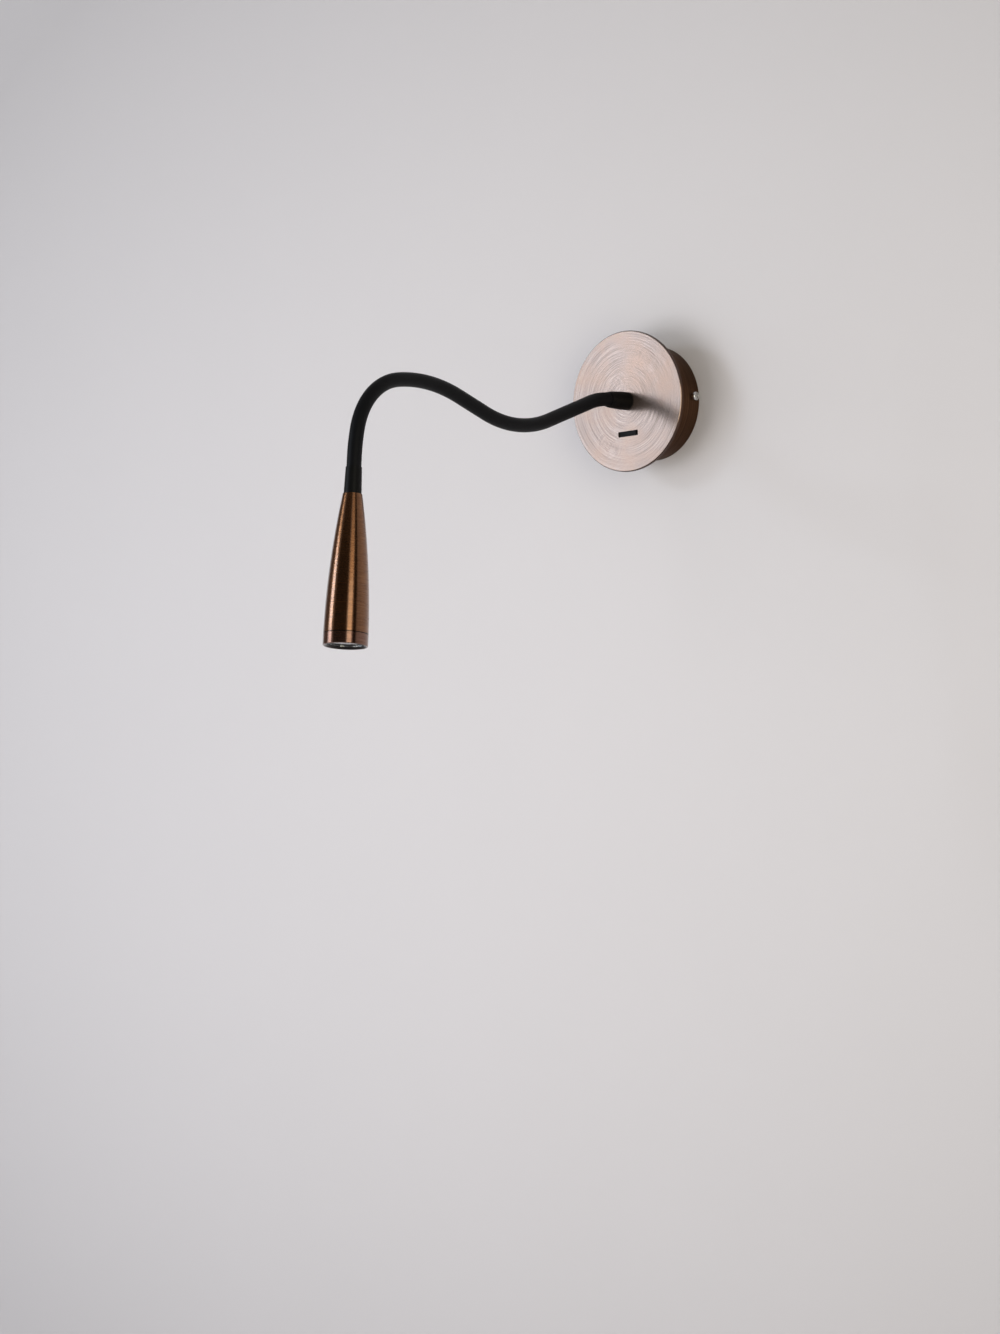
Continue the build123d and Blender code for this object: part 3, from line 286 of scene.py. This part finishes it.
def brushed_metal(name, centre, axis, dark, light, roughness, **choices):
    """Plated metal brushed round an axis: its tone and its gloss change from line to line.

    The tangent is the way round, and the gloss is drawn out square to it. Choices: fine and broad lines
    per metre, wander along them, depth of the relief, marks = centres of polishing marks, tint = colour
    that the plating drifts to in clouds, edge = (distance from the axis, colour beyond it, a painted shade
    on a rim), inside = (distance, colour within it), seam = (height, half width, colour of a
    painted shade band in a groove there). The rest are sockets that are the same all over.
    """
    fine, broad = choices.pop("fine", 5200.0), choices.pop("broad", 1500.0)
    wander, depth = choices.pop("wander", 1.4), choices.pop("depth", 3e-6)
    marks, tint = choices.pop("marks", ()), choices.pop("tint", None)
    edge, inside, seam = (choices.pop(key, None) for key in ("edge", "inside", "seam"))
    choices = {"metallic": 1.0, "roughness": roughness, "Anisotropic_Rotation": QUARTER_TURN, **choices}
    material, tree, shader = finish(name, light, **choices)

    fine_line, distance, way = arcs(tree, centre, axis, fine, wander)
    broad_line = arcs(tree, centre, axis, broad, wander)[0]
    broad_part = calc(tree, "MULTIPLY", broad_line, 1 - FINE_SHARE)
    lines = calc(tree, "MULTIPLY_ADD", fine_line, FINE_SHARE, broad_part)
    for mark_centre in marks:
        mark, away, _ = arcs(tree, mark_centre, axis, broad, wander)
        seen = span(tree, away, MARK_CORE, MARK_REACH, MARK_SHARE, 0.0)
        lines = calc(tree, "MULTIPLY_ADD", calc(tree, "SUBTRACT", mark, 0.5), seen, lines)

    tone = blend_colour(tree, span(tree, lines, 0.38, 0.62), dark, light)
    if tint:
        cloud = noise(tree, place_of(tree), CLOUD_SCALE, detail=3.0, rough=0.6)
        tone = blend_colour(tree, span(tree, cloud, 0.42, 0.72), tone, tint)
    # painted shade: beyond this distance the colour turns to a darker rim colour
    if edge:
        limit, colour = edge
        tone = blend_colour(tree, span(tree, distance, limit, limit + LINE_BLUR), tone, colour)
    if inside:
        limit, colour = inside
        tone = blend_colour(tree, span(tree, distance, limit - LINE_BLUR, limit, 1.0, 0.0), tone, colour)
    # painted shade in a groove: a dark band round the axis at a height
    if seam:
        middle, half, colour = seam
        height = turning(tree, centre, axis)[0]
        off_seam = calc(tree, "ABSOLUTE", calc(tree, "SUBTRACT", height, middle))
        tone = blend_colour(tree, span(tree, off_seam, SEAM_CORE * half, half, 1.0, 0.0), tone, colour)
    tree.links.new(tone, shader.inputs["Base Color"])
    gloss = span(tree, lines, 0.35, 0.65, roughness + GLOSS_SWING, roughness - GLOSS_SWING)
    tree.links.new(gloss, shader.inputs["Roughness"])

    spaces = {"vector_type": "VECTOR", "convert_from": "OBJECT", "convert_to": "WORLD"}
    tangent = put(tree, "ShaderNodeVectorTransform", {"Vector": way}, **spaces)
    tree.links.new(tangent.outputs["Vector"], shader.inputs["Tangent"])
    relief(tree, shader, lines, depth)
    return material


def rubber(name, colour, roughness, grain=2600.0, depth=8e-6, gloss=0.3):
    """Rubber or flexible insulation: a fine matt grain that also breaks up the gloss."""
    material, tree, shader = finish(name, colour, roughness=roughness, Specular_IOR_Level=gloss)
    place = place_of(tree)
    grey = noise(tree, place, grain, detail=3.0)
    cloud = noise(tree, place, scale=90.0)
    tone = blend_colour(tree, cloud, [0.75 * c for c in colour], [1.3 * c for c in colour])
    tree.links.new(tone, shader.inputs["Base Color"])
    matt = span(tree, grey, 0.3, 0.7, roughness - 0.06, roughness + 0.08)
    tree.links.new(matt, shader.inputs["Roughness"])
    relief(tree, shader, grey, depth)
    return material


def plastic(name, colour, roughness, **sockets):
    """Moulded plastic: a faint spark-eroded grain with a slow change of tone."""
    material, tree, shader = finish(name, colour, roughness=roughness, **sockets)
    place = place_of(tree)
    grey = noise(tree, place, scale=1500.0, detail=4.0, rough=0.6)
    cloud = noise(tree, place, scale=60.0)
    tone = blend_colour(tree, cloud, [0.88 * c for c in colour], [min(1.0, 1.08 * c) for c in colour])
    tree.links.new(tone, shader.inputs["Base Color"])
    relief(tree, shader, grey, 5e-6)
    return material


def bright_metal(name, colour, roughness):
    """Zinc plate, brass or steel: cloudy plating with fine pits."""
    material, tree, shader = finish(name, colour, metallic=1.0, roughness=roughness)
    place = place_of(tree)
    cloud = noise(tree, place, scale=350.0, detail=3.0)
    tree.links.new(blend_colour(tree, cloud, [0.8 * c for c in colour], colour), shader.inputs["Base Color"])
    gloss = span(tree, cloud, 0.3, 0.7, roughness + 0.08, roughness - 0.05)
    tree.links.new(gloss, shader.inputs["Roughness"])
    relief(tree, shader, noise(tree, place, scale=900.0, detail=3.0), 3e-6)
    return material


def clear(name, tint, roughness, ior):
    """Glass or clear plastic: it passes light, with a faint haze that changes over the piece."""
    material, tree, shader = finish(name, tint, roughness=roughness, Transmission_Weight=1.0, IOR=ior)
    haze = noise(tree, place_of(tree), scale=400.0, detail=3.0)
    tree.links.new(span(tree, haze, 0.3, 0.7, roughness, roughness + 0.06), shader.inputs["Roughness"])
    return material


def earth_insulation():
    """Green insulation banded with yellow: a wave along X, a little bent, whose crests are yellow."""
    material, tree, shader = finish("lead_green", (0.06, 0.30, 0.03), roughness=0.4)
    place = place_of(tree)
    wave = {"Vector": place, "Scale": 70.0, "Distortion": 1.5, "Detail": 0.0}
    stripe = put(tree, "ShaderNodeTexWave", wave, wave_type="BANDS", bands_direction="X").outputs["Fac"]
    tone = blend_colour(tree, span(tree, stripe, 0.45, 0.55), (0.05, 0.27, 0.03), (0.75, 0.62, 0.04))
    tree.links.new(tone, shader.inputs["Base Color"])
    relief(tree, shader, noise(tree, place, scale=2600.0), 6e-6)
    return material


def cloth(name, colour):
    """The matt cloth of a card that only reflections see."""
    material, tree, shader = finish(name, colour, roughness=0.9)
    relief(tree, shader, noise(tree, place_of(tree), scale=300.0), 1e-4)
    return material


def wall_finish():
    """Matt paint with a faint mottle, a painted falloff of light (darker away from the wall's middle), and
    see-through from behind.

    Painted darkness = |((X + 0.086) * 0.76, (Z + 0.15) * 0.98)|^2, in metres, held at 0.3.
    """
    material, tree, shader = finish("wall_paint_and_shade", (0.78, 0.755, 0.76), roughness=0.85, Specular_IOR_Level=0.2)
    mottle = noise(tree, place_of(tree), scale=9.0, detail=4.0)
    paint = blend_colour(tree, mottle, (0.776, 0.740, 0.742), (0.792, 0.754, 0.758))
    # painted shade: the colour darkens towards black away from the wall's middle, standing for light falling
    # off there
    from_middle = vector(tree, "ADD", place_of(tree), (0.086, 0.0, 0.15))
    off_middle = vector(tree, "MULTIPLY", from_middle, (0.76, 0.0, 0.98))
    painted_falloff = span(tree, vector(tree, "DOT_PRODUCT", off_middle, off_middle), 0.0, 0.3, 0.0, 0.3)
    tree.links.new(blend_colour(tree, painted_falloff, paint, (0.0, 0.0, 0.0)), shader.inputs["Base Color"])
    behind = put(tree, "ShaderNodeNewGeometry").outputs["Backfacing"]
    see_through = put(tree, "ShaderNodeBsdfTransparent").outputs["BSDF"]
    both_sides = put(tree, "ShaderNodeMixShader", {0: behind, 1: shader.outputs["BSDF"], 2: see_through})
    tree.links.new(both_sides.outputs["Shader"], tree.nodes["Material Output"].inputs["Surface"])
    return material


# the plate is the same bronze as the drum and head; its paler, greyer tone is painted reflection of the cool
# key softbox it faces, while its brushing, polishing marks and tint clouds are real
plate_copper = brushed_metal(
    "plate_copper",
    BASE_MIDDLE,
    WALL_AXIS,
    dark=(0.222, 0.162, 0.136),
    light=(0.368, 0.288, 0.252),
    roughness=0.23,
    fine=5200.0,
    broad=2600.0,
    wander=1.0,
    depth=0.8e-6,
    marks=[(-9.0 * MM, 0.0, 9.0 * MM), (-15.0 * MM, 0.0, -24.0 * MM), (17.0 * MM, 0.0, 21.0 * MM)],
    tint=(0.330, 0.226, 0.176),
    # painted shade on the rim's chamfer and side, which mirror dark surroundings
    edge=(PLATE_EDGE_R, (0.075, 0.040, 0.028)),
    Anisotropic=0.2,
    Metallic=0.8,
)
# the drum is the same bronze as the head, coloured darker: painted shade for the shaded wall its side
# mirrors; the brushing is real
drum_bronze = brushed_metal(
    "drum_bronze",
    BASE_MIDDLE,
    WALL_AXIS,
    dark=(0.052, 0.025, 0.014),
    light=(0.126, 0.062, 0.033),
    roughness=0.42,
    fine=6800.0,
    broad=2900.0,
    wander=0.35,
    Anisotropic=0.9,
)
HEAD_GLOSS = {
    "roughness": 0.25,
    "depth": 1e-6,
    # painted shade of the groove where the bezel meets the shell
    "seam": (SEAM_HEIGHT, 0.3 * MM, (0.03, 0.014, 0.008)),
    "Anisotropic": 0.9,
    "Coat_Weight": 0.6,
    "Coat_Roughness": 0.12,
}
head_bronze = brushed_metal(
    "head_bronze",
    HEAD_TOP,
    HEAD_AXIS,
    dark=(0.155, 0.063, 0.024),
    light=(0.240, 0.106, 0.043),
    **HEAD_GLOSS,
)
bezel_bronze = brushed_metal(
    "bezel_bronze",
    HEAD_TOP,
    HEAD_AXIS,
    dark=(0.145, 0.066, 0.040),
    light=(0.220, 0.109, 0.072),
    inside=(BEZEL_LIP_R, (0.012, 0.009, 0.008)),
    **HEAD_GLOSS,
)
sleeve_black = rubber("sleeve_black", (0.004, 0.004, 0.005), 0.5, gloss=0.12)
collar_black = rubber("collar_black", (0.004, 0.004, 0.004), 0.45, grain=1800.0, depth=4e-6, gloss=0.12)
bush_rubber = rubber("bush_rubber", (0.03, 0.03, 0.03), 0.6)
lead_black = rubber("lead_black", (0.02, 0.02, 0.02), 0.45)
lead_brown = rubber("lead_brown", (0.12, 0.035, 0.012), 0.4)
lead_blue = rubber("lead_blue", (0.01, 0.06, 0.32), 0.4)
black_plastic = plastic("black_plastic", (0.005, 0.004, 0.004), 0.45, Specular_IOR_Level=0.1)
white_plastic = plastic("white_plastic", (0.72, 0.71, 0.68), 0.42)
board_white = plastic("board_white", (0.78, 0.78, 0.75), 0.25)
emitter_yellow = plastic("emitter_yellow", (0.85, 0.60, 0.10), 0.3)
zinc_steel = bright_metal("zinc_steel", (0.76, 0.75, 0.74), 0.18)
brass = bright_metal("brass", (0.72, 0.50, 0.20), 0.28)
conduit_steel = bright_metal("conduit_steel", (0.46, 0.46, 0.45), 0.34)
sink_aluminium = brushed_metal(
    "sink_aluminium",
    HEAD_TOP,
    HEAD_AXIS,
    dark=(0.62, 0.62, 0.63),
    light=(0.78, 0.78, 0.79),
    roughness=0.3,
    Anisotropic=0.5,
)
lead_green = earth_insulation()
cover_glass = clear("cover_glass", (0.90, 0.93, 0.94), 0.02, 1.5)
optic_clear = clear("optic_clear", (0.93, 0.95, 0.96), 0.12, 1.49)

NECK_PARTS = ["base"] + [str(k) for k in range(1, NECK_JOINTS)] + ["head"]
FINISH_OF = {
    plate_copper: ["front_plate"],
    drum_bronze: ["base_drum"],
    head_bronze: ["head_shell"],
    bezel_bronze: ["bezel_ring"],
    sleeve_black: [f"neck_sleeve_{k}" for k in NECK_PARTS],
    collar_black: ["base_collar", "head_collar"],
    conduit_steel: [f"neck_conduit_{k}" for k in NECK_PARTS],
    lead_black: [f"neck_lead_{k}" for k in NECK_PARTS],
    zinc_steel: [
        "wall_bracket",
        "earth_screw",
        "side_screws",
        "block_screw",
        "switch_screws",
        "led_screws",
        "neck_nipple",
        "lock_washer",
        "neck_nut",
        "head_nipple",
    ],
    brass: ["terminal_screws", "switch_tabs"],
    black_plastic: ["switch_housing", "switch_rocker", "optic_holder"],
    white_plastic: ["terminal_block", "driver_case"],
    bush_rubber: ["cable_bush", "driver_pad"],
    lead_brown: ["live_leads"],
    lead_blue: ["neutral_lead"],
    lead_green: ["earth_lead"],
    sink_aluminium: ["heat_sink"],
    board_white: ["led_board"],
    emitter_yellow: ["led_emitter"],
    optic_clear: ["optic"],
    cover_glass: ["cover_glass"],
}
for material, names in FINISH_OF.items():
    for name in names:
        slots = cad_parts[name].data.materials
        slots.clear()
        slots.append(material)

# ------------------------------------------------------------------ the neck, smooth across its joints
middles = [(a + b) / 2 for a, b in zip(joint_at, joint_at[1:])]


def neck_layer(layer, start, end, outer, inner, material):
    """One layer of the neck as a piece to each joint, from mid link to mid link."""
    stops = [start] + middles + [end]
    for k, joint in enumerate(joint_at):
        a, b = stops[k], stops[k + 1]
        lengths = np.linspace(a, b, int((b - a) / RING_STEP) + 2)
        piece = hose(f"{layer}_bend_{k + 1}", lengths, outer, inner)
        piece.data.materials.append(material)
        centre, way = neck_place(joint)
        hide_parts(f"{layer}_{NECK_PARTS[k]}", *([f"{layer}_head"] if k == NECK_JOINTS - 1 else []))
        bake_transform(piece)


neck_layer(
    "neck_sleeve",
    SLEEVE_START,
    NECK_LENGTH - HEAD_GRIP,
    SLEEVE_R,
    SLEEVE_INNER_R,
    sleeve_black,
)
neck_layer(
    "neck_conduit",
    CONDUIT_START,
    NECK_LENGTH - CONDUIT_SHORT,
    CONDUIT_R,
    CONDUIT_BORE_R,
    conduit_steel,
)

# ------------------------------------------------------------------ wall and floor
# the wall has a round opening behind the drum, so that light reaches the wiring when seen from behind
wall_paint_and_shade = wall_finish()
WALL_GAP = 0.2 * MM  # the wall stands this far behind the lamp's back
WALL_AT = (0.0, WALL_GAP, 0.0)
FLOOR_AT = (0.0, -1.5, -0.95)
wall = turned_surface("wall", [3.0, 0.6, 0.12, WALL_OPENING_R], centre=WALL_AT, axis=(0.0, -1.0, 0.0))
floor = turned_surface("floor", [4.0, 1.0, 0.001], centre=FLOOR_AT, axis=(0.0, 0.0, 1.0))
for backdrop in (wall, floor):
    backdrop.data.materials.append(wall_paint_and_shade)

# ------------------------------------------------------------------ light
LIT_POINT = (0.0, -0.13, -0.03)  # the middle of the lamp, which every lamp and card faces

world = bpy.data.worlds.new("room_light")
scene.world = world
world.use_nodes = True
world.node_tree.nodes["Background"].inputs["Color"].default_value = (0.38, 0.372, 0.372, 1.0)


def softbox(name, azimuth, elevation, distance, size, radiance, colour=(1.0, 1.0, 1.0), glossy=True):
    """A rectangular lamp that faces the lit point; azimuth is from -Y towards +X, in degrees.

    Its power follows from its radiance: power = radiance * pi * width * height.
    """
    width, height = size
    a, e = radians(azimuth), radians(elevation)
    way = Vector((sin(a) * cos(e), -cos(a) * cos(e), sin(e)))
    data = bpy.data.lights.new(name, "AREA")
    data.shape = "RECTANGLE"
    data.size, data.size_y = width, height
    data.energy = radiance * pi * width * height
    data.color = colour
    lamp = bpy.data.objects.new(name, data)
    scene.collection.objects.link(lamp)
    lamp.location = Vector(LIT_POINT) + distance * way
    lamp.rotation_mode = "QUATERNION"
    lamp.rotation_quaternion = way.to_track_quat("Z", "Y")
    lamp.visible_camera = False
    lamp.visible_glossy = glossy


COOL, WARM = (0.88, 1.0, 1.14), (1.0, 0.97, 0.78)
# the plate mirrors the first, and the head's left and golden stripes mirror the next two
softbox("key_softbox", -44.0, -2.9, distance=1.6, size=(0.67, 0.85), radiance=2.2, colour=COOL)
softbox("key_core", -44.4, 18.4, distance=3.36, size=(1.02, 0.56), radiance=9.0, colour=COOL)
softbox("warm_softbox", 58.0, -4.0, distance=1.7, size=(0.66, 1.40), radiance=2.9, colour=WARM)
softbox("rear_softbox", 160.0, 15.0, distance=1.2, size=(0.8, 0.8), radiance=2.0)
softbox("room_fill", -19.0, -14.0, distance=2.2, size=(1.4, 1.4), radiance=2.8, glossy=False)

CARD_POINTS = 5  # along each side


def flag(name, azimuth, distance, size, material, rise=0.0):
    """A dark card that only reflections see, upright and facing the lit point, its middle at a rise.

    Point = lit point + rise Z + distance * way + u * width * side + v * height Z, u and v from -1/2 to 1/2.
    """
    width, height = size
    a = radians(azimuth)
    way = np.array((sin(a), -cos(a), 0.0))
    side = np.array((cos(a), sin(a), 0.0))
    upright = np.array((0.0, 0.0, 1.0))
    share = np.linspace(-0.5, 0.5, CARD_POINTS)
    across = share[None, :, None] * width * side
    along = share[:, None, None] * height * upright
    points = np.array(LIT_POINT) + rise * upright + distance * way + across + along
    index = np.arange(CARD_POINTS**2).reshape(CARD_POINTS, CARD_POINTS)
    quads = np.stack([index[:-1, :-1], index[1:, :-1], index[1:, 1:], index[:-1, 1:]], axis=-1)
    card = new_piece(name, points, quads)
    card.data.materials.append(material)
    card.visible_camera = False
    card.visible_diffuse = False
    card.visible_shadow = False
    card.visible_transmission = False


flag_cloth = cloth("flag_cloth", (0.01, 0.01, 0.01))
dim_cloth = cloth("dim_cloth", (0.34, 0.27, 0.22))
# the head's dark stripes mirror these; seen from the front and a little above, the plate mirrors what
# lies below the first
flag("front_flag", 10.0, distance=2.6, size=(3.5, 2.4), material=flag_cloth, rise=1.12)
flag("left_flag", -76.0, distance=1.9, size=(1.2, 3.5), material=dim_cloth)
flag("right_flag", 83.5, distance=1.9, size=(0.54, 3.5), material=flag_cloth)

# ------------------------------------------------------------------ camera
# fitted to the photo
CAMERA_AT = (1.323709, -1.641478, -0.256584)
CAMERA_RIGHT = Vector((0.746484, 0.663536, -0.049819))
CAMERA_UP = Vector((0.072062, -0.006186, 0.997381))
camera = bpy.data.objects.new("camera", bpy.data.cameras.new("camera"))
scene.collection.objects.link(camera)
camera.data.lens = 100.0
camera.data.sensor_width = 36.0
camera.data.clip_start = 0.1
turn = Matrix((CAMERA_RIGHT, CAMERA_UP, CAMERA_RIGHT.cross(CAMERA_UP))).transposed()
camera.matrix_world = Matrix.Translation(CAMERA_AT) @ turn.to_4x4()
scene.camera = camera

scene.view_settings.view_transform = "Standard"
